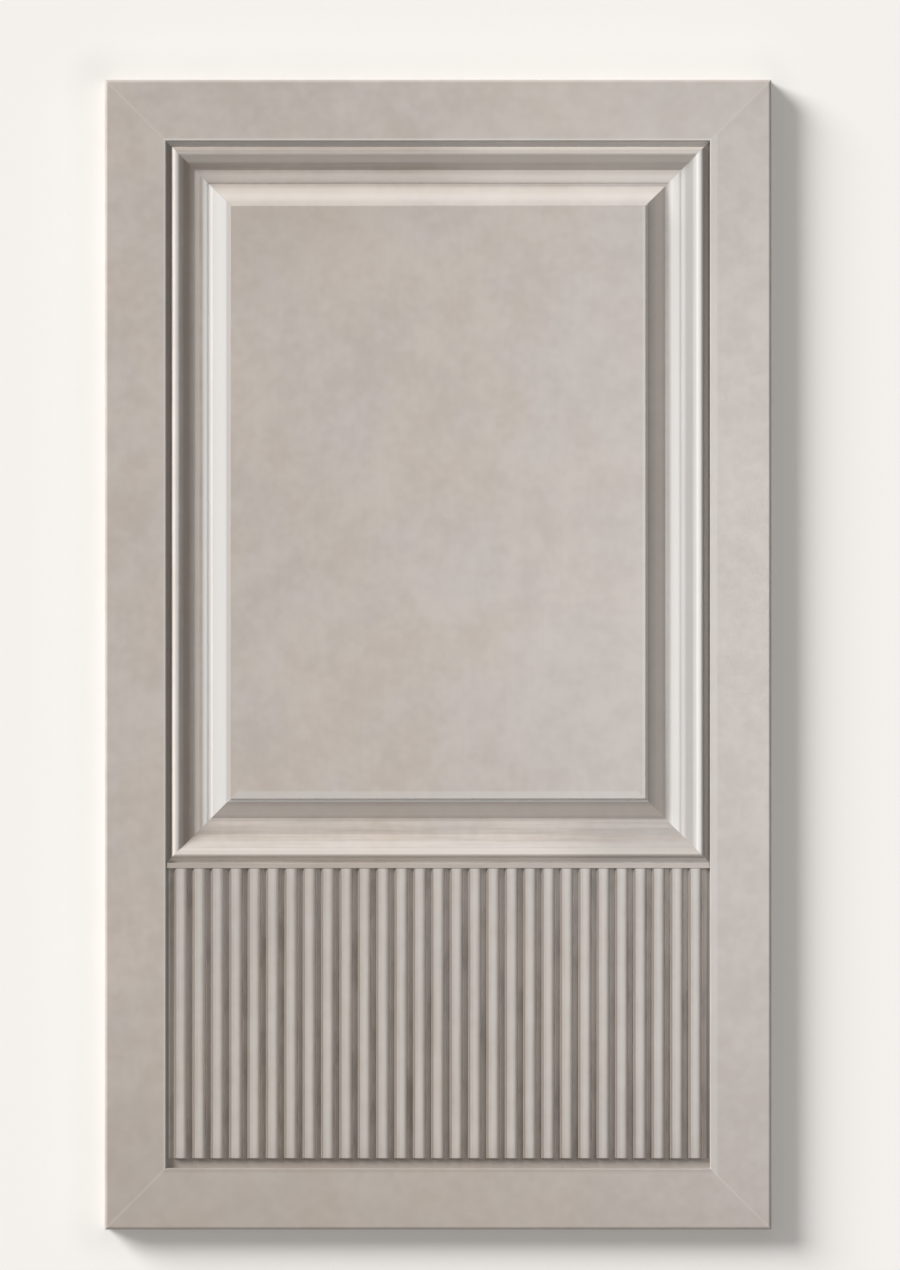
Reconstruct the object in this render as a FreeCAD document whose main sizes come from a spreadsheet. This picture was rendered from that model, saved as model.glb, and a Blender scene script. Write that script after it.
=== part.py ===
# Wainscot panel: a mitred frame round a raised upper panel and a reeded lower panel.
# Millimetres. The panel lies on its back: X runs across it, Y up the wall, Z out of its face.
# The origin is the middle of the frame's back.
import FreeCAD
import Part
import Sketcher
import math
import os

document = FreeCAD.newDocument("WainscotPanel")

# Driving sizes: alias, size, what it is
SIZES = [
    ("panel_width", 530, "over the stiles"),
    ("panel_height", 914, "over the rails"),
    ("frame_thickness", 22, "stiles and rails, back to face"),
    ("member_width", 49, "face width of every stile and rail"),
    ("outer_arris", 2.5, "eased outer edges of the frame's face"),
    ("inner_arris", 1.2, "eased inner edges of the frame's face"),
    ("groove_setback", 3, "back of the frame to the groove"),
    ("groove_depth", 10, "into the inner edge of a stile or rail"),
    ("groove_clearance", 1, "room left past a tongue for the board to swell"),
    ("board_thickness", 18, "both boards, back to face"),
    ("tongue_thickness", 8, "boards' edges, which fill the groove"),
    ("margin_width", 0.5, "flat of the board between the moulding and the slope"),
    ("bevel_run", 16, "width of the slope up to the field"),
    ("field_step", 1.5, "height of the step at the field's edge"),
    ("field_step_run", 0.5, "lean of that step"),
    ("cove_radius", 6, "hollow at the foot of the slope"),
    ("bead_height", 10.6, "top of the bead over the moulding's back"),
    ("quirk_width", 4.2, "sunk band between the frame and the bead"),
    ("quirk_side", 2, "straight side of the bead above the quirk's floor"),
    ("bead_radius", 3.6, "bead's round, from the quirk up to its crown"),
    ("roll_radius", 5.5, "bead's round, from its crown down to the splay"),
    ("splay_angle", 36, "degrees, slope down from the bead to the land"),
    ("land_height", 1.3, "moulding's thickness at the land inside the splay"),
    ("land_width", 4.5, "flat between the splay and the thumb"),
    ("thumb_width", 5.6, "thumb round, from the land to the moulding's inner edge"),
    ("thumb_drop", 0.9, "fall of the thumb round to the moulding's inner edge"),
    ("strip_width", 4.5, "dividing strip's face"),
    ("strip_arris", 0.5, "eased edges of the dividing strip"),
    ("lower_height", 238, "bottom rail to dividing strip"),
    ("reed_width", 11, "reed over its two shoulders"),
    ("reed_side", 1.3, "straight side of a reed below its shoulder"),
    ("reed_shoulder", 3.2, "round at each side of a reed's crown"),
    ("reed_spacing", 14.6, "wanted distance from reed to reed"),
    ("reed_side_gap", 6.1, "stile to the nearest reed"),
    ("reed_foot_gap", 7.5, "flat ledge between the reeds' feet and the bottom rail"),
    ("overrun", 5, "how far a cut runs past the wood"),
]

# Sizes that follow from them
WORKED = [
    ("opening_width", "Sizes.panel_width - 2 * Sizes.member_width"),
    ("upper_height", "Sizes.panel_height - 2 * Sizes.member_width - Sizes.lower_height - Sizes.strip_width"),
    ("upper_middle", "Sizes.panel_height / 2 - Sizes.member_width - upper_height / 2"),
    ("lower_middle", "Sizes.member_width + Sizes.lower_height / 2 - Sizes.panel_height / 2"),
    ("strip_foot", "lower_middle + Sizes.lower_height / 2"),
    ("groove_front", "Sizes.groove_setback + Sizes.tongue_thickness"),
    ("tongue_reach", "Sizes.groove_depth - Sizes.groove_clearance"),
    ("face_rise", "Sizes.board_thickness - Sizes.tongue_thickness"),
    ("bevel_angle", "atan((face_rise - Sizes.field_step) / Sizes.bevel_run)"),
    ("cove_reach", "Sizes.cove_radius * tan(bevel_angle / 2)"),
    ("quirk_floor", "Sizes.bead_height - Sizes.bead_radius - Sizes.quirk_side"),
    ("bead_crown", "Sizes.quirk_width + Sizes.bead_radius"),
    ("roll_end", "bead_crown + Sizes.roll_radius * sin(Sizes.splay_angle)"),
    ("roll_end_height", "Sizes.bead_height - Sizes.roll_radius * (1 - cos(Sizes.splay_angle))"),
    ("splay_foot", "roll_end + (roll_end_height - Sizes.land_height) / tan(Sizes.splay_angle)"),
    ("thumb_start", "splay_foot + Sizes.land_width"),
    ("thumb_radius", "(Sizes.thumb_width ^ 2 + Sizes.thumb_drop ^ 2) / (2 * Sizes.thumb_drop)"),
    ("moulding_width", "thumb_start + Sizes.thumb_width"),
    ("slope_foot", "moulding_width + Sizes.margin_width + cove_reach"),
    ("border_width", "slope_foot + Sizes.bevel_run + Sizes.field_step_run"),
    ("reed_floor", "Sizes.board_thickness - Sizes.reed_shoulder - Sizes.reed_side"),
    ("reed_span", "opening_width - 2 * Sizes.reed_side_gap - Sizes.reed_width"),
    ("reed_count", "floor(reed_span / Sizes.reed_spacing + 0.5) + 1"),
]

CLOCKWISE = -1
ANTICLOCKWISE = 1
SKETCH_ORIGIN = (-1, 1)


def fill_sheet(name, rows, first_text):
    sheet = document.addObject("Spreadsheet::Sheet", name)
    for number, row in enumerate(rows, start=1):
        alias, size = row[:2]
        sheet.set(f"A{number}", alias)
        sheet.set(f"B{number}", f"{first_text}{size}")
        sheet.setAlias(f"B{number}", alias)
        for note in row[2:]:
            sheet.set(f"C{number}", note)
    document.recompute()


fill_sheet("Sizes", SIZES, "")
fill_sheet("Worked", WORKED, "=")


def new_body(label):
    body = document.addObject("PartDesign::Body", label)
    body.Label = label
    return body


def place(body, x="0", y="0", z="0", turn=0):
    """Turn a body about Z by degrees, then tie its place to the sheets."""
    body.Placement.Rotation = FreeCAD.Rotation(FreeCAD.Vector(0, 0, 1), turn)
    for axis, expression in zip("xyz", (x, y, z)):
        body.setExpression(f"Placement.Base.{axis}", expression)


def new_sketch(body, name, role):
    plane = [feature for feature in body.Origin.OriginFeatures if feature.Role == role][0]
    sketch = body.newObject("Sketcher::SketchObject", name)
    sketch.AttachmentSupport = [(plane, "")]
    sketch.MapMode = "FlatFace"
    return sketch


def constrain(sketch, kind, where, expression):
    value = sketch.evalExpression(expression)
    number = sketch.addConstraint(Sketcher.Constraint(kind, *where, value))
    sketch.setExpression(f"Constraints[{number}]", expression)


def arc_through(start, end, radius, turn):
    """The short arc from start to end, written anticlockwise as sketches keep it."""
    chord = end - start
    outward = FreeCAD.Vector(chord.y, -chord.x, 0).normalize() * turn
    sagitta = radius - math.sqrt(max(radius ** 2 - chord.Length ** 2 / 4, 0))
    crown = (start + end) / 2 + outward * sagitta
    return Part.Arc(start, crown, end) if turn == ANTICLOCKWISE else Part.Arc(end, crown, start)


def outline(sketch, corners):
    """Draw a closed outline. A corner is (x, y); (x, y, radius, turn) is reached by an arc."""
    points = [FreeCAD.Vector(sketch.evalExpression(c[0]), sketch.evalExpression(c[1]), 0) for c in corners]
    tails, heads = [], []
    for index, corner in enumerate(corners):
        start, end = points[index - 1], points[index]
        if len(corner) == 2:
            edge = sketch.addGeometry(Part.LineSegment(start, end))
            backwards = False
        else:
            radius, turn = corner[2:]
            edge = sketch.addGeometry(arc_through(start, end, sketch.evalExpression(radius), turn))
            backwards = turn == CLOCKWISE
        tails.append((edge, 2 if backwards else 1))
        heads.append((edge, 1 if backwards else 2))
    for index, corner in enumerate(corners):
        head = heads[index]
        tail = tails[(index + 1) % len(corners)]
        sketch.addConstraint(Sketcher.Constraint("Coincident", *head, *tail))
        constrain(sketch, "DistanceX", (*SKETCH_ORIGIN, *head), corner[0])
        constrain(sketch, "DistanceY", (*SKETCH_ORIGIN, *head), corner[1])
        if len(corner) > 2:
            constrain(sketch, "Radius", (head[0],), corner[2])


def rectangle(sketch, left, right, bottom, top):
    outline(sketch, [(left, bottom), (right, bottom), (right, top), (left, top)])


def pad(body, sketch, length, side="Symmetric"):
    feature = body.newObject("PartDesign::Pad", f"{sketch.Name}_pad")
    feature.Profile = sketch
    feature.SideType = side
    feature.setExpression("Length", length)
    document.recompute()
    return feature


def cut_through(body, sketch):
    """Cut a sketch's outlines right through the body, both ways from the sketch."""
    volume_before = body.Shape.Volume
    feature = body.newObject("PartDesign::Pocket", f"{sketch.Name}_cut")
    feature.Profile = sketch
    feature.SideType = "Symmetric"
    feature.Type = "ThroughAll"
    document.recompute()
    if body.Shape.Volume >= volume_before:
        raise RuntimeError(f"{feature.Name} cuts nothing")


def mitred_length(label, section, width, length):
    """A length along X, its outer edge on Y = 0, with both ends mitred at 45 degrees."""
    body = new_body(label)
    profile = new_sketch(body, f"{label}_section", "YZ_Plane")
    outline(profile, section)
    pad(body, profile, length)
    mitres = new_sketch(body, f"{label}_mitres", "XY_Plane")
    for sign in ("", "-"):
        outline(mitres, [
            (f"{sign}({length} / 2 + Sizes.overrun)", "-Sizes.overrun"),
            (f"{sign}({length} / 2 + Sizes.overrun)", f"{width} + Sizes.overrun"),
            (f"{sign}({length} / 2 - {width} - Sizes.overrun)", f"{width} + Sizes.overrun"),
        ])
    cut_through(body, mitres)
    return body


# Frame: a grooved section with eased arrises, outer edge first
FRAME_SECTION = [
    ("0", "0"),
    ("Sizes.member_width", "0"),
    ("Sizes.member_width", "Sizes.groove_setback"),
    ("Sizes.member_width - Sizes.groove_depth", "Sizes.groove_setback"),
    ("Sizes.member_width - Sizes.groove_depth", "Worked.groove_front"),
    ("Sizes.member_width", "Worked.groove_front"),
    ("Sizes.member_width", "Sizes.frame_thickness - Sizes.inner_arris"),
    ("Sizes.member_width - Sizes.inner_arris", "Sizes.frame_thickness", "Sizes.inner_arris", ANTICLOCKWISE),
    ("Sizes.outer_arris", "Sizes.frame_thickness"),
    ("0", "Sizes.frame_thickness - Sizes.outer_arris", "Sizes.outer_arris", ANTICLOCKWISE),
]

# Moulding: quirk, bead, splay, land and thumb round, from the frame inwards
MOULDING_SECTION = [
    ("0", "0"),
    ("0", "Worked.quirk_floor"),
    ("Sizes.quirk_width", "Worked.quirk_floor"),
    ("Sizes.quirk_width", "Worked.quirk_floor + Sizes.quirk_side"),
    ("Worked.bead_crown", "Sizes.bead_height", "Sizes.bead_radius", CLOCKWISE),
    ("Worked.roll_end", "Worked.roll_end_height", "Sizes.roll_radius", CLOCKWISE),
    ("Worked.splay_foot", "Sizes.land_height"),
    ("Worked.thumb_start", "Sizes.land_height"),
    ("Worked.moulding_width", "Sizes.land_height - Sizes.thumb_drop", "Worked.thumb_radius", CLOCKWISE),
    ("Worked.moulding_width", "0"),
]


def frame_member(label, length, x="0", y="0", turn=0):
    body = mitred_length(label, FRAME_SECTION, "Sizes.member_width", length)
    place(body, x=x, y=y, turn=turn)
    return body


def moulding(label, length, x="0", y="Worked.upper_middle", turn=0):
    body = mitred_length(label, MOULDING_SECTION, "Worked.moulding_width", length)
    place(body, x=x, y=y, z="Worked.groove_front", turn=turn)
    return body


def raising_cut(body, name, role, half_field, half_board):
    """One pass of the panel-raising cutter along two opposite edges of the board."""
    sketch = new_sketch(body, name, role)
    foot = f"{half_field} + Sizes.field_step_run + Sizes.bevel_run"
    far_edge = f"{half_board} + Sizes.overrun"
    above = "Sizes.board_thickness + Sizes.overrun"
    margin = "Sizes.tongue_thickness"
    for sign, turn in (("", ANTICLOCKWISE), ("-", CLOCKWISE)):
        outline(sketch, [
            (f"{sign}({half_field})", above),
            (f"{sign}({half_field})", "Sizes.board_thickness"),
            (f"{sign}({half_field} + Sizes.field_step_run)", "Sizes.board_thickness - Sizes.field_step"),
            (
                f"{sign}({foot} - Worked.cove_reach * cos(Worked.bevel_angle))",
                f"{margin} + Worked.cove_reach * sin(Worked.bevel_angle)",
            ),
            (f"{sign}({foot} + Worked.cove_reach)", margin, "Sizes.cove_radius", turn),
            (f"{sign}({far_edge})", margin),
            (f"{sign}({far_edge})", above),
        ])
    cut_through(body, sketch)


def raised_panel():
    """A board raised on all four edges; its margin runs under the mouldings into the grooves."""
    body = new_body("raised_panel")
    half_width = "Worked.opening_width / 2 + Worked.tongue_reach"
    top = "Worked.upper_height / 2 + Worked.tongue_reach"
    foot = "-(Worked.upper_height + Sizes.strip_width) / 2"
    blank = new_sketch(body, "raised_panel_blank", "XY_Plane")
    rectangle(blank, f"-({half_width})", half_width, foot, top)
    pad(body, blank, "Sizes.board_thickness", side="One side")
    raising_cut(
        body, "raised_panel_sides", "XZ_Plane",
        "Worked.opening_width / 2 - Worked.border_width", half_width,
    )
    raising_cut(
        body, "raised_panel_ends", "YZ_Plane",
        "Worked.upper_height / 2 - Worked.border_width", top,
    )
    place(body, y="Worked.upper_middle", z="Sizes.groove_setback")
    return body


def dividing_strip():
    """A flat strip with eased edges, planted over the joint between the two boards."""
    body = new_body("dividing_strip")
    section = new_sketch(body, "dividing_strip_section", "YZ_Plane")
    shoulder = "Worked.face_rise - Sizes.strip_arris"
    outline(section, [
        ("0", "0"),
        ("Sizes.strip_width", "0"),
        ("Sizes.strip_width", shoulder),
        ("Sizes.strip_width - Sizes.strip_arris", "Worked.face_rise", "Sizes.strip_arris", ANTICLOCKWISE),
        ("Sizes.strip_arris", "Worked.face_rise"),
        ("0", shoulder, "Sizes.strip_arris", ANTICLOCKWISE),
    ])
    pad(body, section, "Worked.opening_width")
    place(body, y="Worked.strip_foot", z="Worked.groove_front")
    return body


def reed_outline(sketch):
    """The first reed at the left: a flat crown with a round shoulder at each side."""
    left = "-(Worked.reed_span + Sizes.reed_width) / 2"
    right = "(Sizes.reed_width - Worked.reed_span) / 2"
    crown = "Sizes.board_thickness"
    shoulder = "Sizes.reed_shoulder"
    outline(sketch, [
        (left, "Worked.reed_floor"),
        (right, "Worked.reed_floor"),
        (right, f"{crown} - {shoulder}"),
        (f"{right} - {shoulder}", crown, shoulder, ANTICLOCKWISE),
        (f"{left} + {shoulder}", crown),
        (left, f"{crown} - {shoulder}", shoulder, ANTICLOCKWISE),
    ])


def reeded_panel():
    """A tongued board with a row of flat-topped reeds, stopped above the bottom rail."""
    body = new_body("reeded_panel")
    half_width = "Worked.opening_width / 2"
    half_height = "Sizes.lower_height / 2"
    tongues = new_sketch(body, "reeded_panel_tongues", "XY_Plane")
    rectangle(
        tongues,
        f"-({half_width} + Worked.tongue_reach)",
        f"{half_width} + Worked.tongue_reach",
        f"-({half_height} + Worked.tongue_reach)",
        f"{half_height} + Sizes.strip_width / 2",
    )
    pad(body, tongues, "Sizes.tongue_thickness", side="One side")
    floor = new_sketch(body, "reeded_panel_floor", "XY_Plane")
    rectangle(floor, f"-{half_width}", half_width, f"-{half_height}", half_height)
    pad(body, floor, "Worked.reed_floor", side="One side")
    section = new_sketch(body, "reed_section", "XZ_Plane")
    reed_outline(section)
    reed = pad(body, section, f"{half_height} - Sizes.reed_foot_gap", side="Two sides")
    reed.setExpression("Length2", half_height)
    row = body.newObject("PartDesign::LinearPattern", "reed_row")
    row.Originals = [reed]
    row.Direction = (section, ["H_Axis"])
    row.setExpression("Length", "Worked.reed_span")
    row.setExpression("Occurrences", "Worked.reed_count")
    body.Tip = row
    place(body, y="Worked.lower_middle", z="Sizes.groove_setback")
    return body


pieces = [
    frame_member("bottom_rail", "Sizes.panel_width", y="-Sizes.panel_height / 2"),
    frame_member("right_stile", "Sizes.panel_height", x="Sizes.panel_width / 2", turn=90),
    frame_member("top_rail", "Sizes.panel_width", y="Sizes.panel_height / 2", turn=180),
    frame_member("left_stile", "Sizes.panel_height", x="-Sizes.panel_width / 2", turn=270),
    raised_panel(),
    moulding("moulding_bottom", "Worked.opening_width", y="Worked.upper_middle - Worked.upper_height / 2"),
    moulding("moulding_right", "Worked.upper_height", x="Worked.opening_width / 2", turn=90),
    moulding(
        "moulding_top", "Worked.opening_width",
        y="Worked.upper_middle + Worked.upper_height / 2", turn=180,
    ),
    moulding("moulding_left", "Worked.upper_height", x="-Worked.opening_width / 2", turn=270),
    dividing_strip(),
    reeded_panel(),
]
document.recompute()

for item in document.Objects:
    if "Invalid" in item.State or "Error" in item.State:
        raise RuntimeError(f"{item.Name} failed: {item.State}")
for piece in pieces:
    shape = piece.Shape
    if shape.isNull() or not shape.isValid() or len(shape.Solids) != 1:
        raise RuntimeError(f"{piece.Label} is not one sound solid")

os.makedirs("parts", exist_ok=True)
for piece in pieces:
    piece.Shape.exportStep(f"parts/{piece.Label}.step")
    print(f"{piece.Label}: {piece.Shape.Volume / 1000:.1f} cubic cm")
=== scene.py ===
# Looks of a painted wainscot panel: mitred frame, raised upper panel, planted moulding and reeds.
# Metres. The panel lies on its back: X runs across it, Y up the wall, Z out of its face.
import math

import bmesh
import bpy
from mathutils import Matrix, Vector


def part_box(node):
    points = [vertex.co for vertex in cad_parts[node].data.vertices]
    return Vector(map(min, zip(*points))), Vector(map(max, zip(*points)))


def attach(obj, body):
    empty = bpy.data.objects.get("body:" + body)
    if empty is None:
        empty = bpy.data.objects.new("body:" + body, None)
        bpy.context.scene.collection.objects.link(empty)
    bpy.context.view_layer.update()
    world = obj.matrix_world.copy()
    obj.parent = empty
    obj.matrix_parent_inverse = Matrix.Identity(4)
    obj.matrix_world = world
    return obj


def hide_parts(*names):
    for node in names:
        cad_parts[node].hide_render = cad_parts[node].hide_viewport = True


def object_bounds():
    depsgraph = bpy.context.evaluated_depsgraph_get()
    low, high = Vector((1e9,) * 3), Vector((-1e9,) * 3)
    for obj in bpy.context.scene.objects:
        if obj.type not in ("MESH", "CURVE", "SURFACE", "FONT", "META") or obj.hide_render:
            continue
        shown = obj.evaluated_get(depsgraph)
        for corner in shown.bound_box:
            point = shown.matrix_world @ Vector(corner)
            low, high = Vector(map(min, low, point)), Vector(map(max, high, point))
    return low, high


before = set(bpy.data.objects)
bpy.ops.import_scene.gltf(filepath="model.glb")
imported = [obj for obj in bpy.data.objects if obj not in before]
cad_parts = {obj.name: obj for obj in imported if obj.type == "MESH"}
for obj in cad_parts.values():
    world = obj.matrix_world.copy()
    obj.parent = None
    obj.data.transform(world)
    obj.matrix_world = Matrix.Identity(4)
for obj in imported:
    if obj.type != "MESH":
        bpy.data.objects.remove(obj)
cad_low, cad_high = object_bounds()

MM = 0.001
TOUCH = 0.01 * MM

# Places read from the frame
stile_low, stile_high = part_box("left_stile")
strip_low, strip_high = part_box("dividing_strip")
raised_low, raised_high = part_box("raised_panel")
reeded_low, reeded_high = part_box("reeded_panel")
moulding_low, moulding_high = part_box("moulding_left")

PANEL_WIDTH = cad_high.x - cad_low.x
PANEL_HEIGHT = cad_high.y - cad_low.y
MEMBER_WIDTH = stile_high.x - stile_low.x
FACE = stile_high.z
OPENING_HALF = -stile_high.x
OPENING_FOOT = cad_low.y + MEMBER_WIDTH
OPENING_HEAD = cad_high.y - MEMBER_WIDTH
UPPER_FOOT = strip_high.y
UPPER_HEIGHT = OPENING_HEAD - UPPER_FOOT
UPPER_MIDDLE = (OPENING_HEAD + UPPER_FOOT) / 2
MARGIN = strip_low.z
BOARD_BACK = raised_low.z
FIELD = raised_high.z
MOULDING_WIDTH = moulding_high.x - moulding_low.x
BEAD_HEIGHT = moulding_high.z - moulding_low.z

# Frame section
OUTER_ARRIS = 2.5 * MM
INNER_ARRIS = 1.2 * MM
GROOVE_DEPTH = 10 * MM
MITRE_EASE = 0.2 * MM
MITRE_EASE_CUTS = 2

# Raised panel section, from the frame inwards
MARGIN_WIDTH = 0.5 * MM
BEVEL_RUN = 16 * MM
FIELD_STEP = 1.5 * MM
FIELD_STEP_RUN = 0.5 * MM
FIELD_ARRIS = 0.4 * MM
FIELD_ARRIS_CUTS = 3
COVE_RADIUS = 6 * MM
COVE_CUTS = 6

# Moulding section, from the frame inwards
QUIRK_WIDTH = 4.2 * MM
QUIRK_SIDE = 2 * MM
BEAD_RADIUS = 3.6 * MM
ROLL_RADIUS = 5.5 * MM
BEAD_CUTS = 10
SPLAY_ANGLE = math.radians(36)
LAND_HEIGHT = 1.3 * MM
LAND_WIDTH = 4.5 * MM
THUMB_DROP = 0.9 * MM
THUMB_CUTS = 8
BEAD_CROWN = QUIRK_WIDTH + BEAD_RADIUS
ROLL_END = BEAD_CROWN + ROLL_RADIUS * math.sin(SPLAY_ANGLE)
SPLAY_FALL = BEAD_HEIGHT - ROLL_RADIUS * (1 - math.cos(SPLAY_ANGLE)) - LAND_HEIGHT
SPLAY_FOOT = ROLL_END + SPLAY_FALL / math.tan(SPLAY_ANGLE)
THUMB_START = SPLAY_FOOT + LAND_WIDTH

# Strip and reeds
STRIP_ARRIS = 0.5 * MM
REED_WIDTH = 11 * MM
REED_SHOULDER = 3.2 * MM
REED_SIDE = 1.3 * MM
REED_COUNT = 29
REED_SIDE_GAP = 6.1 * MM
REED_FOOT_GAP = 7.5 * MM
REED_FOOT_EASE = 0.5 * MM
REED_FOOT_CUTS = 2
REED_ROOT = 1 * MM
REED_CUTS = 8
REED_PITCH = (2 * (OPENING_HALF - REED_SIDE_GAP) - REED_WIDTH) / (REED_COUNT - 1)
REED_GROOVE = reeded_high.z - REED_SHOULDER - REED_SIDE

# Spare length that a mitre cuts away, cuts round an arris, and what counts as smooth or square on
SPARE = 10 * MM
ARRIS_CUTS = 5
SMOOTH_ANGLE = math.radians(28)
SQUARE_ON = 0.9
QUARTER_TURN = math.pi / 2


# Handwork shared by the pieces

def start_block(name, low, high):
    """A block of wood from corner to corner, open for shaping."""
    low, high = Vector(low), Vector(high)
    bpy.ops.object.select_all(action="DESELECT")
    bpy.ops.mesh.primitive_cube_add(size=1, location=(low + high) / 2, scale=high - low)
    bpy.context.object.name = name
    bpy.ops.object.transform_apply(location=True, rotation=True, scale=True)
    bpy.ops.object.mode_set(mode="EDIT")


def pick(kind, test):
    """Select the edges or faces that pass the test."""
    bpy.ops.mesh.select_mode(type=kind)
    bpy.ops.mesh.select_all(action="DESELECT")
    mesh = bpy.context.edit_object.data
    shape = bmesh.from_edit_mesh(mesh)
    for part in {"EDGE": shape.edges, "FACE": shape.faces}[kind]:
        part.select_set(test(part))
    shape.select_flush_mode()
    bmesh.update_edit_mesh(mesh)


def edge_on(test):
    """An edge test that holds when both of its ends pass."""
    return lambda edge: all(test(end.co) for end in edge.verts)


def near(value, target):
    """Whether two measures are the same."""
    return abs(value - target) < TOUCH


def saw(point, normal, off_cut=False):
    """Cut the whole piece by a plane; the side that the normal points to may be cut away."""
    bpy.ops.mesh.select_all(action="SELECT")
    bpy.ops.mesh.bisect(plane_co=point, plane_no=normal, use_fill=off_cut, clear_outer=off_cut)


def push(x=0, y=0, z=0):
    """Carry on what is picked by a distance."""
    bpy.ops.mesh.extrude_region_move(TRANSFORM_OT_translate={"value": (x, y, z)})


def step_in(run, rise):
    """Set the picked face in from its sides and raise it."""
    bpy.ops.mesh.inset(thickness=run, depth=rise)


def ease(radius, cuts=ARRIS_CUTS):
    """Round the picked edges."""
    bpy.ops.mesh.bevel(offset=radius, segments=cuts, affect="EDGES")


def mitre_ends(length):
    """Saw both ends of a length that lies along X with its outer edge on Y = 0."""
    for end in (-1, 1):
        saw((end * length / 2, 0, 0), (end, 1, 0), off_cut=True)


def finish_piece(node, material, turn=0, place=(0, 0, 0)):
    """Close the mesh, set the piece in its place and let it stand for its node."""
    bpy.ops.mesh.select_all(action="SELECT")
    bpy.ops.mesh.remove_doubles(threshold=TOUCH)
    bpy.ops.mesh.normals_make_consistent(inside=False)
    bpy.ops.object.mode_set(mode="OBJECT")
    piece = bpy.context.object
    piece.rotation_euler.z = turn
    piece.location = place
    bpy.ops.object.transform_apply(location=True, rotation=True, scale=True)
    bpy.ops.object.shade_smooth_by_angle(angle=SMOOTH_ANGLE)
    level = piece.modifiers.new("level_faces", "WEIGHTED_NORMAL")
    level.keep_sharp = True
    bpy.ops.object.modifier_apply(modifier=level.name)
    piece.data.materials.append(material)
    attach(piece, "root")
    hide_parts(node)


# Pieces

def frame_member(node, length, material, turn, place):
    """A grooved stile or rail with eased edges and mitred ends."""
    half = length / 2 + SPARE
    start_block(f"painted_{node}", (-half, 0, 0), (half, MEMBER_WIDTH, FACE))
    for level in (BOARD_BACK, MARGIN):
        saw((0, 0, level), (0, 0, 1))
    pick(
        "FACE",
        lambda face: face.normal.y > SQUARE_ON and BOARD_BACK < face.calc_center_median().z < MARGIN,
    )
    push(y=-GROOVE_DEPTH)
    pick("EDGE", edge_on(lambda co: near(co.y, 0) and near(co.z, FACE)))
    ease(OUTER_ARRIS)
    pick("EDGE", edge_on(lambda co: near(co.y, MEMBER_WIDTH) and near(co.z, FACE)))
    ease(INNER_ARRIS)
    mitre_ends(length)
    pick("EDGE", edge_on(lambda co: near(length / 2 - abs(co.x), co.y) and near(co.z, FACE)))
    ease(MITRE_EASE, MITRE_EASE_CUTS)
    finish_piece(node, material, turn, place)


def start_board(name, low, high, foot, head):
    """A board with its tongues marked off by saw cuts, and its face in the opening picked."""
    start_block(name, low, (high.x, high.y, MARGIN))
    for side in (-OPENING_HALF, OPENING_HALF):
        saw((side, 0, 0), (1, 0, 0))
    for level in (foot, head):
        saw((0, level, 0), (0, 1, 0))
    middle = Vector((0, (foot + head) / 2, MARGIN))
    pick("FACE", lambda face: (face.calc_center_median() - middle).length < TOUCH)


def raised_panel(material):
    """A board whose field is raised by stepping the face inwards and up."""
    start_board("painted_raised_panel", raised_low, raised_high, UPPER_FOOT, OPENING_HEAD)
    bevel_rise = FIELD - FIELD_STEP - MARGIN
    bevel_angle = math.atan(bevel_rise / BEVEL_RUN)
    cove_reach = COVE_RADIUS * math.tan(bevel_angle / 2)
    step_in(MOULDING_WIDTH + MARGIN_WIDTH, 0)
    for cut in range(COVE_CUTS):
        lower, upper = (bevel_angle * part / COVE_CUTS for part in (cut, cut + 1))
        run = COVE_RADIUS * (math.sin(upper) - math.sin(lower))
        rise = COVE_RADIUS * (math.cos(lower) - math.cos(upper))
        step_in(run, rise)
    step_in(
        BEVEL_RUN - cove_reach * math.cos(bevel_angle),
        bevel_rise - cove_reach * math.sin(bevel_angle),
    )
    step_in(FIELD_STEP_RUN, FIELD_STEP)
    pick("EDGE", edge_on(lambda co: near(co.z, FIELD)))
    ease(FIELD_ARRIS, FIELD_ARRIS_CUTS)
    finish_piece("raised_panel", material)


def start_section(name):
    """A single point of a new piece, from which its section is drawn."""
    bpy.ops.object.select_all(action="DESELECT")
    bpy.ops.mesh.primitive_plane_add(size=1, location=(0, 0, 0))
    bpy.context.object.name = name
    bpy.ops.object.mode_set(mode="EDIT")
    bpy.ops.mesh.select_mode(type="VERT")
    bpy.ops.mesh.merge(type="CENTER")


def sweep(y, z, angle, cuts):
    """Carry the section on round a centre."""
    bpy.ops.mesh.spin(steps=cuts, angle=angle, center=(0, y, z), axis=(1, 0, 0))


def moulding(node, length, material, turn, place):
    """A mitred length of moulding: quirk, bead, splay, land and thumb round."""
    thumb_run = MOULDING_WIDTH - THUMB_START
    thumb_radius = (thumb_run ** 2 + THUMB_DROP ** 2) / (2 * THUMB_DROP)
    start_section(f"painted_{node}")
    push(z=BEAD_HEIGHT - BEAD_RADIUS - QUIRK_SIDE)
    push(y=QUIRK_WIDTH)
    push(z=QUIRK_SIDE)
    sweep(BEAD_CROWN, BEAD_HEIGHT - BEAD_RADIUS, QUARTER_TURN, BEAD_CUTS)
    sweep(BEAD_CROWN, BEAD_HEIGHT - ROLL_RADIUS, SPLAY_ANGLE, BEAD_CUTS)
    push(y=SPLAY_FOOT - ROLL_END, z=-SPLAY_FALL)
    push(y=LAND_WIDTH)
    sweep(THUMB_START, LAND_HEIGHT - thumb_radius, math.asin(thumb_run / thumb_radius), THUMB_CUTS)
    push(z=THUMB_DROP - LAND_HEIGHT)
    bpy.ops.mesh.select_all(action="SELECT")
    bpy.ops.mesh.edge_face_add()
    bpy.ops.transform.translate(value=(-length / 2 - SPARE, 0, 0))
    push(x=length + 2 * SPARE)
    mitre_ends(length)
    finish_piece(node, material, turn, place)


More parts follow.
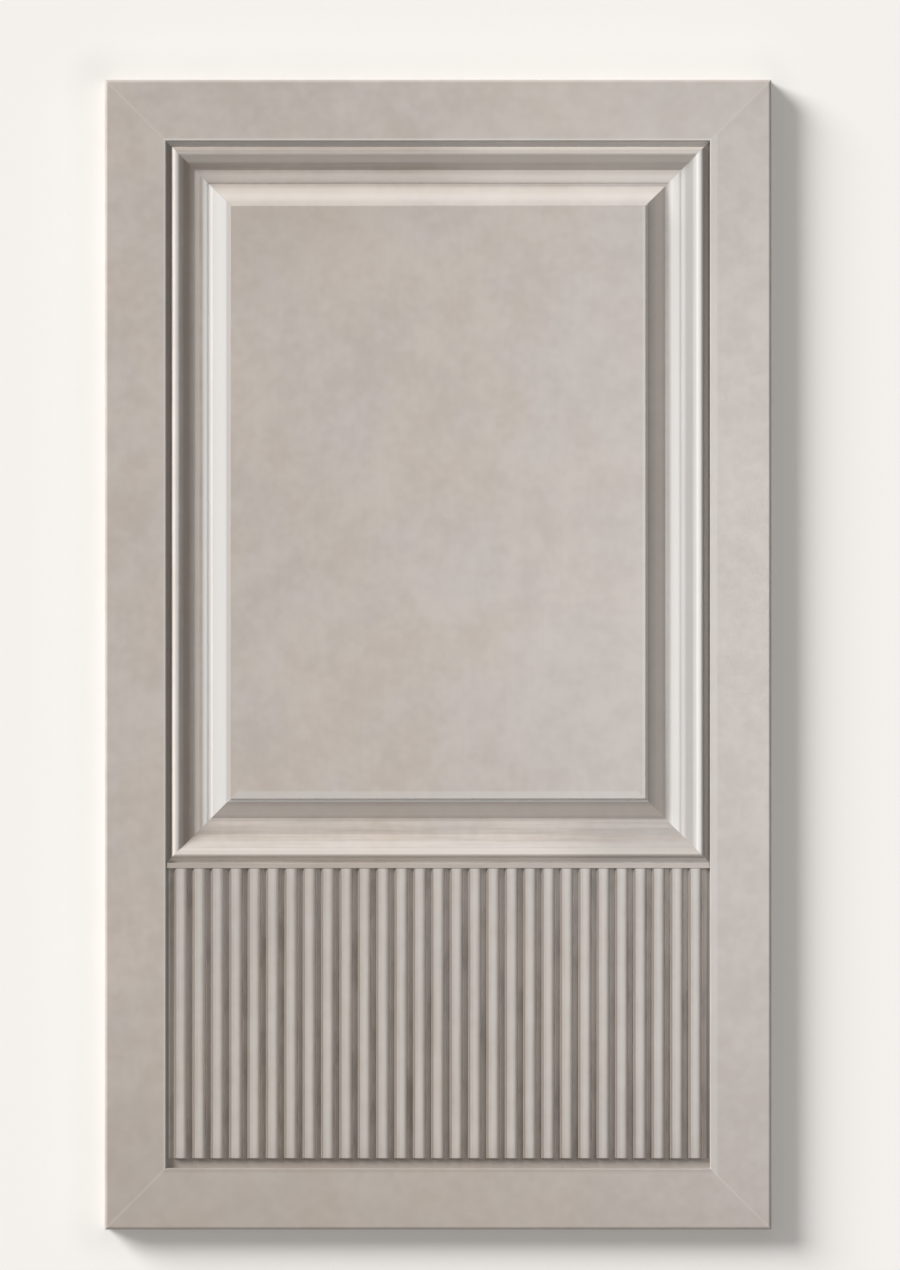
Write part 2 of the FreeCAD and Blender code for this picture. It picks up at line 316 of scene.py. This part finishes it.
def dividing_strip(material):
    """A flat strip with its upper edges eased."""
    start_block("painted_dividing_strip", strip_low, strip_high)
    pick("EDGE", edge_on(lambda co: near(co.z, strip_high.z)))
    ease(STRIP_ARRIS)
    finish_piece("dividing_strip", material)


def reed_row():
    """One flat-topped reed with round shoulders, copied across the opening."""
    foot = OPENING_FOOT + REED_FOOT_GAP
    left = REED_SIDE_GAP - OPENING_HALF
    start_block(
        "reed_row",
        (left, foot, REED_GROOVE - REED_ROOT),
        (left + REED_WIDTH, strip_low.y, reeded_high.z),
    )
    pick("EDGE", edge_on(lambda co: near(co.z, reeded_high.z) and near(co.y, foot)))
    ease(REED_FOOT_EASE, REED_FOOT_CUTS)
    for side in (left, left + REED_WIDTH):
        pick("EDGE", edge_on(lambda co: near(co.x, side) and near(co.z, reeded_high.z)))
        ease(REED_SHOULDER, REED_CUTS)
    bpy.ops.object.mode_set(mode="OBJECT")
    row = bpy.context.object
    copies = row.modifiers.new("reeds", "ARRAY")
    copies.count = REED_COUNT
    copies.use_relative_offset = False
    copies.use_constant_offset = True
    copies.constant_offset_displace = (REED_PITCH, 0, 0)
    bpy.ops.object.modifier_apply(modifier=copies.name)
    return row


def reeded_panel(material):
    """A tongued board with the reeds worked on its face."""
    reeds = reed_row()
    start_board("painted_reeded_panel", reeded_low, reeded_high, OPENING_FOOT, strip_low.y)
    push(z=REED_GROOVE - MARGIN)
    bpy.ops.object.mode_set(mode="OBJECT")
    board = bpy.context.object
    join = board.modifiers.new("reeds", "BOOLEAN")
    join.operation = "UNION"
    join.solver = "EXACT"
    join.object = reeds
    bpy.ops.object.modifier_apply(modifier=join.name)
    bpy.data.objects.remove(reeds)
    bpy.ops.object.mode_set(mode="EDIT")
    finish_piece("reeded_panel", material)


# Paint

SCREEN_WHITE = 255
SCREEN_TOE = 0.055
SCREEN_GAMMA = 2.4


def paint_colour(red, green, blue):
    """A colour written as it looks on screen, 0 to 255, made linear."""
    shares = [value / SCREEN_WHITE for value in (red, green, blue)]
    return [((share + SCREEN_TOE) / (1 + SCREEN_TOE)) ** SCREEN_GAMMA for share in shares] + [1]


# WARM, COOL, SHADE and CHALK make up the limewash. SHADE, CHALK and the colours after them are also laid on
# in strokes, mostly as painted light, painted sheen and painted shade
WARM = paint_colour(189, 177, 166)
COOL = paint_colour(186, 179, 174)
SHADE = paint_colour(155, 143, 131)
CHALK = paint_colour(210, 204, 196)
PALE = paint_colour(202, 199, 195)
# A pale colour laid on as painted light: highlights on faces that catch the light, and lightening on faces
# and quirks in shade
PAINTED_LIGHT = paint_colour(232, 230, 227)
COLD = paint_colour(188, 186, 184)
CREAM = paint_colour(233, 226, 217)
# A dark brown laid on as painted shade: in quirks and grooves, down faces turned from the light and over
# some lit edges
PAINTED_SHADE = paint_colour(112, 98, 83)
SLATE = paint_colour(112, 107, 103)
BISTRE = paint_colour(113, 103, 94)
PAINT_SHEEN = 0.7

# Patterns: size, how far they are drawn out, and the range that shows as a range of a layer's share
CLOUD_SIZE = 70 * MM
CLOUD_COOL = (0.35, 0.65, 0.25, 0.75)
DRIFT_SIZE = 160 * MM
DRIFT_SHADE = (0.35, 0.7, 0, 0.1)
MOTTLE_SIZE = 50 * MM
MOTTLE_SHADE = (0.3, 0.55, 0.2, 0)
MOTTLE_CHALK = (0.45, 0.7, 0, 0.2)
STREAK_SIZE = 3 * MM
STREAK_LENGTH = 25
STREAK_RANGE = (0.35, 0.55)
# Painted shade down the reed grooves, made uneven by a drawn-out pattern
GROOVE_SHADE_SIZE = 14 * MM
GROOVE_SHADE_LENGTH = 3
GROOVE_SHADE_RANGE = (0.45, 0.75, 0, 0.45)
GROOVE_SIDES = (2.5 * MM, 5 * MM)
GRAIN_SIZE = 1.6 * MM
GRAIN_ROUGHNESS = (0.2, 0.8, 0.42, 0.52)
GRAIN_RISE = 0.3 * MM
GRAIN_STRENGTH = 0.15

# Shares of streaks on each kind of piece, and the wider changes of tone: a cooler tone painted towards the
# right side as sheen, painted shade towards the foot of the frame, and a darker corner on the raised panel
FLAT_STREAKS = 0.03
MOULDING_STREAKS = 0.3
REED_STREAKS = 0.2
COOL_SHEEN_SHARE = 0.8
# Painted shade: the frame grows darker towards its foot and its bottom left corner, where the light falls
# off
FOOT_SHADE_REACH = 250 * MM
FOOT_SHADE_SLANT = 0.2
FOOT_SHADE_SHARE = 0.4
CORNER_SLANT = 0.4
CORNER_START = 80 * MM
CORNER_END = 200 * MM
CORNER_SHARE = 0.3
MITRE_BLUR = (-0.4 * MM, -0.1 * MM)
LEDGE_BLUR = 0.5 * MM

# Pairs of sides: the axis across them, their middle and half the width between them
ACROSS_OPENING = ("X", 0, OPENING_HALF)
UP_OPENING = ("Y", UPPER_MIDDLE, UPPER_HEIGHT / 2)
UP_FRAME = ("Y", 0, OPENING_HEAD)

# Strokes: a layer, then where it starts, ends and how it fades in millimetres, then its share
MITRE_STROKES = [(CHALK, -1.2, 1.2, 1.6, 0.25)]
# Painted light on the top rail's inner edge, which is turned from the light
TOP_RAIL_STROKES = [(PAINTED_LIGHT, -2, 2, 1.5, 0.5)]
# Painted sheen: lighter along the right part of the top rail
TOP_RAIL_ALONG_STROKES = [(CHALK, 20, 400, 80, 0.16)]
# Painted shade on the bottom rail's lit inner edge below the reeds
BOTTOM_RAIL_STROKES = [(PAINTED_SHADE, -2, 3, 4, 0.25)]
# Painted light on the left stile's inner edge, which is turned from the light
LEFT_STILE_STROKES = [(PALE, -2, 2, 1.5, 0.7)]
# Painted shade beside the right quirk, and a painted highlight on the right stile's lit inner edge
RIGHT_STILE_STROKES = [(PAINTED_SHADE, -2, 0.3, 0.6, 0.6), (PALE, 1, 6, 2.5, 0.5)]
# Painted light up the foot of every bevel
SLOPE_STROKES = [(CREAM, 1, 6.5, 3, 0.34)]
# Painted highlight on the top bevel, which faces the light
TOP_SLOPE_STROKES = [(PAINTED_LIGHT, 41, 51, 4, 0.2)]
# Painted highlight on the left cove, a cooler tone painted on the lit left bevel as its sheen, and painted
# shade along its top
LEFT_SLOPE_STROKES = [(PAINTED_LIGHT, 30, 36.5, 2.5, 0.7), (COLD, 37, 51, 2, 0.9), (PAINTED_SHADE, 47.6, 51.2, 2, 0.4)]
# Painted light on the right bevel, which is turned from the light, and along the field's edge
RIGHT_SLOPE_STROKES = [(CREAM, 36.5, 43, 3, 0.3), (PAINTED_LIGHT, 49.2, 51, 0.8, 0.8), (PALE, 51, 53.5, 2, 0.5)]
# Painted light on the bottom bevel, which is turned from the light, and along the field's edge
FOOT_SLOPE_STROKES = [(CREAM, 37, 45, 3, 0.15), (PAINTED_LIGHT, 48.4, 51, 0.8, 1), (PALE, 51, 57, 2, 0.5)]
# Painted light in the top quirk, on the splay turned from the light and on the thumb, and painted shade on
# the bead's crown
TOP_MOULDING_STROKES = [
    (PAINTED_LIGHT, -2, 4, 1.5, 0.65),
    (SHADE, 5, 8.5, 1.5, 0.4),
    (CREAM, 9, 16.5, 3, 0.6),
    (CHALK, 25, 33, 3, 0.4),
]
# Painted sheen: lighter along the right part of the top moulding
TOP_ALONG_STROKES = [(CREAM, 20, 400, 80, 0.35)]
# Painted light on the bottom bead and quirk, which lie in shade, and a painted highlight on the splay that
# faces the light
BOTTOM_MOULDING_STROKES = [
    (CREAM, 2.2, 8.4, 1.2, 1),
    (CHALK, 8.4, 11.5, 1, 0.7),
    (PAINTED_LIGHT, 11.5, 17, 3, 0.22),
]
BOTTOM_ALONG_STROKES = [(SLATE, 110, 400, 70, 0.3)]
# Painted shade in the left quirk and down the splay turned from the light, painted highlights on the lit
# bead and thumb, painted light on the land
LEFT_MOULDING_STROKES = [
    (PAINTED_SHADE, -2, 4.2, 1, 0.55),
    (PAINTED_LIGHT, 5.5, 9.5, 1.5, 0.5),
    (PAINTED_SHADE, 13, 18.6, 3, 0.62),
    (CREAM, 21, 26, 2, 0.45),
    (PAINTED_LIGHT, 29, 35, 3, 1),
]
# A cooler tone painted over the right moulding as sheen, painted shade in the quirk and on the lit splay,
# painted highlights on the bead and thumb
RIGHT_MOULDING_STROKES = [
    (COLD, 3, 34, 2, 0.7),
    (PAINTED_SHADE, -2, 4.2, 1, 0.85),
    (PAINTED_LIGHT, 5.5, 10.5, 1.5, 0.65),
    (SLATE, 10.5, 23.5, 2, 0.14),
    (SLATE, 13, 19.5, 3, 0.5),
    (PAINTED_LIGHT, 24, 31, 3, 0.8),
]
# Painted shade on the strip's lit upper edge and across the strip below the bead
STRIP_STROKES = [(PAINTED_SHADE, -1.2, 1, 0.8, 0.15), (SHADE, -6, -0.5, 1, 0.35)]
# Painted light on each reed's crown and on the shaded groove floors, painted shade down each reed's lit
# left side and its right shoulder
REED_STROKES = [
    (PALE, -1.5, 1.3, 1.6, 0.48),
    (BISTRE, -5.5, -3.5, 1.2, 0.95),
    (PAINTED_SHADE, 2.7, 4.4, 1.6, 0.55),
    (CHALK, -9, -5.8, 0.6, 0.5),
    (CREAM, 4.9, 6, 1, 0.9),
    (CHALK, 6, 9, 1, 0.3),
]
# Painted shade on the ledge below the reeds, fading up their feet
REED_FOOT_STROKES = [(PAINTED_SHADE, -2, 8, 3, 0.3), (PAINTED_SHADE, -2, 16, 14, 0.1)]

# Places of the colour sockets on a mix node
MIX_UNDER = 6
MIX_OVER = 7
MIX_COLOUR = 2


class Paint:
    """A coat of paint, built up layer by layer on a piece's own coordinates."""

    def __init__(self, name):
        self.material = bpy.data.materials.new(name)
        self.material.use_nodes = True
        self.tree = self.material.node_tree
        self.shader = self.tree.nodes["Principled BSDF"]
        self.shader.inputs["Specular IOR Level"].default_value = PAINT_SHEEN
        self.place = self.tree.nodes.new("ShaderNodeTexCoord").outputs["Object"]

    def stretched(self, along, length):
        """Coordinates that draw a pattern out along X or Y."""
        mapping = self.tree.nodes.new("ShaderNodeMapping")
        mapping.inputs["Scale"].default_value = [1 / length if axis == along else 1 for axis in "XYZ"]
        self.tree.links.new(self.place, mapping.inputs["Vector"])
        return mapping.outputs["Vector"]

    def noise(self, size, detail=3, roughness=0.5, place=None):
        """A cloudy pattern of about one size."""
        texture = self.tree.nodes.new("ShaderNodeTexNoise")
        texture.inputs["Scale"].default_value = 1 / size
        texture.inputs["Detail"].default_value = detail
        texture.inputs["Roughness"].default_value = roughness
        self.tree.links.new(place or self.place, texture.inputs["Vector"])
        return texture.outputs["Fac"]

    def spread(self, value, low, high, least=0, most=1):
        """Map a value's range from low to high onto least to most."""
        span = self.tree.nodes.new("ShaderNodeMapRange")
        span.interpolation_type = "SMOOTHSTEP"
        for socket, number in (("From Min", low), ("From Max", high), ("To Min", least), ("To Max", most)):
            span.inputs[socket].default_value = number
        self.tree.links.new(value, span.inputs["Value"])
        return span.outputs["Result"]

    def mix(self, amount, under, over):
        """Lay one colour over another by an amount."""
        blend = self.tree.nodes.new("ShaderNodeMix")
        blend.data_type = "RGBA"
        self.tree.links.new(amount, blend.inputs["Factor"])
        for socket, colour in ((blend.inputs[MIX_UNDER], under), (blend.inputs[MIX_OVER], over)):
            if isinstance(colour, bpy.types.NodeSocket):
                self.tree.links.new(colour, socket)
            else:
                socket.default_value = colour
        return blend.outputs[MIX_COLOUR]

    def reckon(self, operation, first, second=None):
        """Work out one step of arithmetic on sockets or plain numbers."""
        step = self.tree.nodes.new("ShaderNodeMath")
        step.operation = operation
        for socket, value in zip(step.inputs, (first, second)):
            if isinstance(value, bpy.types.NodeSocket):
                self.tree.links.new(value, socket)
            elif value is not None:
                socket.default_value = value
        return step.outputs["Value"]

    def along(self, axis):
        """The place along one axis."""
        parts = self.tree.nodes.new("ShaderNodeSeparateXYZ")
        self.tree.links.new(self.place, parts.inputs["Vector"])
        return parts.outputs[axis]

    def inwards(self, axis, middle, half):
        """Distance in from the two sides of an opening."""
        off_middle = self.reckon("ABSOLUTE", self.reckon("SUBTRACT", self.along(axis), middle))
        return self.reckon("SUBTRACT", half, off_middle)

    def band(self, value, low, high, soft, most):
        """An amount between low and high that fades over a soft width at both ends."""
        rise = self.spread(value, low - soft / 2, low + soft / 2, 0, most)
        fall = self.spread(value, high - soft / 2, high + soft / 2, 1, 0)
        return self.reckon("MULTIPLY", rise, fall)

    def finish(self, colour):
        """Give the coat its colour, with a fine grain in its sheen and surface."""
        grain = self.noise(GRAIN_SIZE, detail=4, roughness=0.6)
        self.tree.links.new(colour, self.shader.inputs["Base Color"])
        self.tree.links.new(self.spread(grain, *GRAIN_ROUGHNESS), self.shader.inputs["Roughness"])
        bump = self.tree.nodes.new("ShaderNodeBump")
        bump.inputs["Strength"].default_value = GRAIN_STRENGTH
        bump.inputs["Distance"].default_value = GRAIN_RISE
        self.tree.links.new(grain, bump.inputs["Height"])
        self.tree.links.new(bump.outputs["Normal"], self.shader.inputs["Normal"])
        return self.material


def limewash(paint, along, streak_share):
    """Cloudy greige limewash, brushed along a piece, and turned cooler towards the right side as painted
    sheen.
    """
    clouds = paint.noise(CLOUD_SIZE, detail=4)
    colour = paint.mix(paint.spread(clouds, *CLOUD_COOL), WARM, COOL)
    # Painted sheen: the colour turns cooler towards the right side, where the sheen falls
    colour = paint.mix(paint.spread(paint.along("X"), 0, cad_high.x, 0, COOL_SHEEN_SHARE), colour, COOL)
    drift = paint.noise(DRIFT_SIZE, detail=2)
    colour = paint.mix(paint.spread(drift, *DRIFT_SHADE), colour, SHADE)
    mottle = paint.noise(MOTTLE_SIZE, roughness=0.95)
    colour = paint.mix(paint.spread(mottle, *MOTTLE_SHADE), colour, SHADE)
    colour = paint.mix(paint.spread(mottle, *MOTTLE_CHALK), colour, CHALK)
    streaks = paint.noise(STREAK_SIZE, roughness=0.6, place=paint.stretched(along, STREAK_LENGTH))
    return paint.mix(paint.spread(streaks, *STREAK_RANGE, streak_share, 0), colour, SHADE)


def lay(paint, colour, value, strokes, where=None):
    """Lay strokes over a colour: each a layer, its edges and fade in millimetres, and its share."""
    for layer, low, high, fade, share in strokes:
        amount = paint.band(value, low * MM, high * MM, fade * MM, share)
        if where:
            amount = paint.reckon("MULTIPLY", amount, where)
        colour = paint.mix(amount, colour, layer)
    return colour


def frame_paint(name, along, edge, strokes, strokes_along=()):
    """A stile or rail: painted shade towards the foot, lighter down its mitres, with strokes of painted
    light and shade out from the opening.
    """
    paint = Paint(name)
    colour = limewash(paint, along, FLAT_STREAKS)
    # Painted shade towards the foot and the bottom left corner, where the light falls off
    slant = paint.reckon("MULTIPLY", paint.along("X"), FOOT_SHADE_SLANT)
    from_corner = paint.reckon("ADD", paint.along("Y"), slant)
    corner = cad_low.y + FOOT_SHADE_SLANT * cad_low.x
    darkening = paint.spread(from_corner, corner, corner + FOOT_SHADE_REACH, FOOT_SHADE_SHARE, 0)
    colour = paint.mix(darkening, colour, SHADE)
    across = paint.inwards("X", 0, PANEL_WIDTH / 2)
    off_mitre = paint.reckon("SUBTRACT", across, paint.inwards("Y", 0, PANEL_HEIGHT / 2))
    colour = lay(paint, colour, off_mitre, MITRE_STROKES)
    # Strokes of painted light and shade out from the opening's edge, and of painted sheen along the piece
    outwards = paint.reckon("MULTIPLY", paint.inwards(*edge), -1)
    colour = lay(paint, colour, outwards, strokes)
    return paint.finish(lay(paint, colour, paint.along(along), strokes_along))


def panel_paint(name):
    """The raised panel's paint: darker towards one corner, with painted light up the bevels and strokes of
    painted light and shade in from each side of the opening.
    """
    paint = Paint(name)
    colour = limewash(paint, "Y", FLAT_STREAKS)
    fall = paint.reckon("SUBTRACT", raised_high.y, paint.along("Y"))
    slant = paint.reckon("MULTIPLY", paint.reckon("SUBTRACT", paint.along("X"), raised_low.x), CORNER_SLANT)
    from_corner = paint.reckon("ADD", fall, slant)
    darkening = paint.spread(from_corner, CORNER_START, CORNER_END, CORNER_SHARE, 0)
    colour = paint.mix(darkening, colour, SHADE)
    # Painted light up the foot of every bevel
    rise = paint.reckon("SUBTRACT", paint.along("Z"), MARGIN)
    colour = lay(paint, colour, rise, SLOPE_STROKES)
    # Strokes of painted light and shade in from each side, each set for how the light falls on that side
    nearest = paint.reckon("MINIMUM", paint.inwards(*ACROSS_OPENING), paint.inwards(*UP_OPENING))
    from_left = paint.reckon("ADD", paint.along("X"), OPENING_HALF)
    from_right = paint.reckon("SUBTRACT", OPENING_HALF, paint.along("X"))
    from_foot = paint.reckon("SUBTRACT", paint.along("Y"), UPPER_FOOT)
    from_head = paint.reckon("SUBTRACT", OPENING_HEAD, paint.along("Y"))
    for from_side, strokes in (
        (from_head, TOP_SLOPE_STROKES),
        (from_left, LEFT_SLOPE_STROKES),
        (from_right, RIGHT_SLOPE_STROKES),
        (from_foot, FOOT_SLOPE_STROKES),
    ):
        own_side = paint.spread(paint.reckon("SUBTRACT", nearest, from_side), *MITRE_BLUR)
        colour = lay(paint, colour, from_side, strokes, own_side)
    return paint.finish(colour)


def moulding_paint(name, along, opening, strokes, strokes_along=()):
    """A moulding's paint, with strokes of painted light and shade in from the frame and others along its
    length.
    """
    paint = Paint(name)
    colour = limewash(paint, along, MOULDING_STREAKS)
    # Strokes of painted light and shade in from the frame, set for how the light falls on each side
    colour = lay(paint, colour, paint.inwards(*opening), strokes)
    return paint.finish(lay(paint, colour, paint.along(along), strokes_along))


def reed_paint(name):
    """The reeds' paint, with painted light and shade across each reed, and painted shade down the grooves
    and at their feet.
    """
    paint = Paint(name)
    plain = limewash(paint, "Y", REED_STREAKS)
    first_crown = REED_SIDE_GAP + REED_WIDTH / 2 - OPENING_HALF
    from_first = paint.reckon("SUBTRACT", paint.along("X"), first_crown)
    turns = paint.reckon("ROUND", paint.reckon("DIVIDE", from_first, REED_PITCH))
    off_crown = paint.reckon("SUBTRACT", from_first, paint.reckon("MULTIPLY", turns, REED_PITCH))
    # Painted light and shade across each reed
    colour = lay(paint, plain, off_crown, REED_STROKES)
    # Painted shade down the grooves, made uneven along them
    groove_shade_noise = paint.noise(GROOVE_SHADE_SIZE, roughness=0.6, place=paint.stretched("Y", GROOVE_SHADE_LENGTH))
    in_groove = paint.spread(paint.reckon("ABSOLUTE", off_crown), *GROOVE_SIDES)
    groove_shade = paint.reckon("MULTIPLY", in_groove, paint.spread(groove_shade_noise, *GROOVE_SHADE_RANGE))
    colour = paint.mix(groove_shade, colour, PAINTED_SHADE)
    up_reed = paint.reckon("SUBTRACT", paint.along("Y"), OPENING_FOOT)
    ledge = paint.spread(up_reed, REED_FOOT_GAP - LEDGE_BLUR, REED_FOOT_GAP, 1, 0)
    colour = paint.mix(ledge, colour, plain)
    # Painted shade on the ledge below the reeds and up their feet
    return paint.finish(lay(paint, colour, up_reed, REED_FOOT_STROKES))


top_rail_paint = frame_paint(
    "limewash_top_rail", "X", UP_FRAME, TOP_RAIL_STROKES, TOP_RAIL_ALONG_STROKES,
)
bottom_rail_paint = frame_paint("limewash_bottom_rail", "X", UP_FRAME, BOTTOM_RAIL_STROKES)
left_stile_paint = frame_paint("limewash_left_stile", "Y", ACROSS_OPENING, LEFT_STILE_STROKES)
right_stile_paint = frame_paint("limewash_right_stile", "Y", ACROSS_OPENING, RIGHT_STILE_STROKES)
top_moulding_paint = moulding_paint(
    "limewash_top_moulding", "X", UP_OPENING, TOP_MOULDING_STROKES, TOP_ALONG_STROKES,
)
bottom_moulding_paint = moulding_paint(
    "limewash_bottom_moulding", "X", UP_OPENING, BOTTOM_MOULDING_STROKES, BOTTOM_ALONG_STROKES,
)
left_moulding_paint = moulding_paint(
    "limewash_left_moulding", "Y", ACROSS_OPENING, LEFT_MOULDING_STROKES,
)
right_moulding_paint = moulding_paint(
    "limewash_right_moulding", "Y", ACROSS_OPENING, RIGHT_MOULDING_STROKES,
)
strip_paint = moulding_paint("limewash_strip", "X", UP_OPENING, STRIP_STROKES)

# Frame, worked as a bottom rail and turned to its side
frame_member("bottom_rail", PANEL_WIDTH, bottom_rail_paint, 0, (0, cad_low.y, 0))
frame_member("right_stile", PANEL_HEIGHT, right_stile_paint, QUARTER_TURN, (cad_high.x, 0, 0))
frame_member("top_rail", PANEL_WIDTH, top_rail_paint, 2 * QUARTER_TURN, (0, cad_high.y, 0))
frame_member("left_stile", PANEL_HEIGHT, left_stile_paint, 3 * QUARTER_TURN, (cad_low.x, 0, 0))

raised_panel(panel_paint("limewash_raised_panel"))

# Moulding, worked as the bottom length and turned to its side
OPENING_WIDTH = 2 * OPENING_HALF
bottom_place = (0, UPPER_FOOT, MARGIN)
right_place = (OPENING_HALF, UPPER_MIDDLE, MARGIN)
top_place = (0, OPENING_HEAD, MARGIN)
left_place = (-OPENING_HALF, UPPER_MIDDLE, MARGIN)
moulding("moulding_bottom", OPENING_WIDTH, bottom_moulding_paint, 0, bottom_place)
moulding("moulding_right", UPPER_HEIGHT, right_moulding_paint, QUARTER_TURN, right_place)
moulding("moulding_top", OPENING_WIDTH, top_moulding_paint, 2 * QUARTER_TURN, top_place)
moulding("moulding_left", UPPER_HEIGHT, left_moulding_paint, 3 * QUARTER_TURN, left_place)

dividing_strip(strip_paint)
reeded_panel(reed_paint("limewash_reeds"))

# Floor: lit as the panel is, with a share of plain colour where it is seen, so that its shadow stays pale
FLOOR_SIZE = 12
FLOOR_ROUGHNESS = 0.9
FLOOR_COLOUR = paint_colour(255, 253, 249)
FLOOR_PALE_SHARE = 0.18

# Close to the panel the floor is painted a little darker: painted shade that evens out the light the lit
# sides throw back and deepens the shadow where it meets the panel
FLOOR_EDGE_COLOUR = paint_colour(200, 198, 195)
FLOOR_EDGE_REACH = 33 * MM
FLOOR_EDGE_SHARE = 0.22
ACROSS_GLOW = ("X", -6 * MM, PANEL_WIDTH / 2)
UP_GLOW = ("Y", 2 * MM, PANEL_HEIGHT / 2)


def seen_share(tree, share):
    """A share for rays that look at a surface, straight or by reflection, and none for the light on it."""
    path = tree.nodes.new("ShaderNodeLightPath")
    total = path.outputs["Is Camera Ray"]
    for kind in ("Is Glossy Ray", "Is Transmission Ray"):
        either = tree.nodes.new("ShaderNodeMath")
        either.operation = "MAXIMUM"
        tree.links.new(total, either.inputs[0])
        tree.links.new(path.outputs[kind], either.inputs[1])
        total = either.outputs["Value"]
    scaled = tree.nodes.new("ShaderNodeMath")
    scaled.operation = "MULTIPLY"
    scaled.inputs[1].default_value = share
    tree.links.new(total, scaled.inputs[0])
    return scaled.outputs["Value"]


def show_where_seen(tree, lit, plain, output, share):
    """Mix a plain shader into a lit one where a ray looks at it."""
    blend = tree.nodes.new("ShaderNodeMixShader")
    tree.links.new(seen_share(tree, share), blend.inputs["Fac"])
    tree.links.new(lit, blend.inputs[1])
    tree.links.new(plain, blend.inputs[2])
    tree.links.new(blend.outputs["Shader"], tree.nodes[output].inputs["Surface"])


bpy.ops.object.select_all(action="DESELECT")
bpy.ops.mesh.primitive_plane_add(size=FLOOR_SIZE)
floor = bpy.context.object
floor.name = "floor"
floor_paint = Paint("pale_floor")
aside, beyond = (
    floor_paint.reckon("MINIMUM", floor_paint.inwards(*glow_side), 0)
    for glow_side in (ACROSS_GLOW, UP_GLOW)
)
squares = (floor_paint.reckon("MULTIPLY", distance, distance) for distance in (aside, beyond))
off_panel = floor_paint.reckon("SQRT", floor_paint.reckon("ADD", *squares))
edge_share = floor_paint.spread(off_panel, 0, FLOOR_EDGE_REACH, FLOOR_EDGE_SHARE, 0)
floor_colour = floor_paint.mix(edge_share, FLOOR_COLOUR, FLOOR_EDGE_COLOUR)
floor_paint.shader.inputs["Roughness"].default_value = FLOOR_ROUGHNESS
floor_paint.shader.inputs["Specular IOR Level"].default_value = 0
floor_plain = floor_paint.tree.nodes.new("ShaderNodeEmission")
for socket in (floor_paint.shader.inputs["Base Color"], floor_plain.inputs["Color"]):
    floor_paint.tree.links.new(floor_colour, socket)
floor_lit = floor_paint.shader.outputs["BSDF"]
floor_glow = floor_plain.outputs["Emission"]
show_where_seen(floor_paint.tree, floor_lit, floor_glow, "Material Output", FLOOR_PALE_SHARE)
floor.data.materials.append(floor_paint.material)

# Light: each share is of the light that would show a white level face as white
AMBIENT_SHARE = 0.25
KEY_SHARE = 0.63
KEY_DIRECTION = Vector((-1.8, 1.2, 1.0)).normalized()
KEY_ANGLE = math.radians(30)
SHEEN_SHARE = 0.75
SHEEN_PLACE = Vector((0.5, 0.06, 1.2))
SHEEN_SIZE = 0.6


def add_lamp(kind, name, place, aim):
    """A lamp that shines back along a direction."""
    bpy.ops.object.select_all(action="DESELECT")
    bpy.ops.object.light_add(type=kind, location=place)
    light = bpy.context.object
    light.name = name
    light.rotation_euler = aim.to_track_quat("Z", "Y").to_euler()
    return light.data


key = add_lamp("SUN", "key", KEY_DIRECTION, KEY_DIRECTION)
key.angle = KEY_ANGLE
key.energy = KEY_SHARE * math.pi / KEY_DIRECTION.z

# A soft lamp overhead, seen only as a sheen on the paint
sheen = add_lamp("AREA", "sheen", SHEEN_PLACE, Vector((0, 0, 1)))
sheen.shape = "DISK"
sheen.size = SHEEN_SIZE
sheen.energy = SHEEN_SHARE * math.pi ** 2 * (SHEEN_PLACE.z ** 2 + (SHEEN_SIZE / 2) ** 2)
bpy.context.object.visible_camera = False
bpy.context.object.visible_diffuse = False

# World: dim all round, and pale where the camera or a reflection looks past the floor
ROOM_COLOUR = (1, 0.96, 0.94, 1)
BACKDROP_COLOUR = paint_colour(247, 245, 241)
world = bpy.data.worlds.new("studio")
bpy.context.scene.world = world
world.use_nodes = True
sky = world.node_tree
room_light = sky.nodes["Background"]
room_light.inputs["Color"].default_value = ROOM_COLOUR
room_light.inputs["Strength"].default_value = AMBIENT_SHARE
backdrop = sky.nodes.new("ShaderNodeBackground")
backdrop.inputs["Color"].default_value = BACKDROP_COLOUR
show_where_seen(sky, room_light.outputs["Background"], backdrop.outputs["Background"], "World Output", 1)

# Camera: straight over the face, with the whole panel in a frame of 900 by 1270
FRAME_HEIGHT = 1.0091
VIEW_CENTRE = Vector((9.5 * MM, 15.6 * MM, FACE))
LENS = 200
SENSOR = 36
camera_data = bpy.data.cameras.new("camera")
camera_data.lens = LENS
camera_data.sensor_width = SENSOR
camera = bpy.data.objects.new("camera", camera_data)
camera.location = VIEW_CENTRE + Vector((0, 0, FRAME_HEIGHT * LENS / SENSOR))
bpy.context.scene.collection.objects.link(camera)
bpy.context.scene.camera = camera
bpy.context.scene.view_settings.view_transform = "Standard"
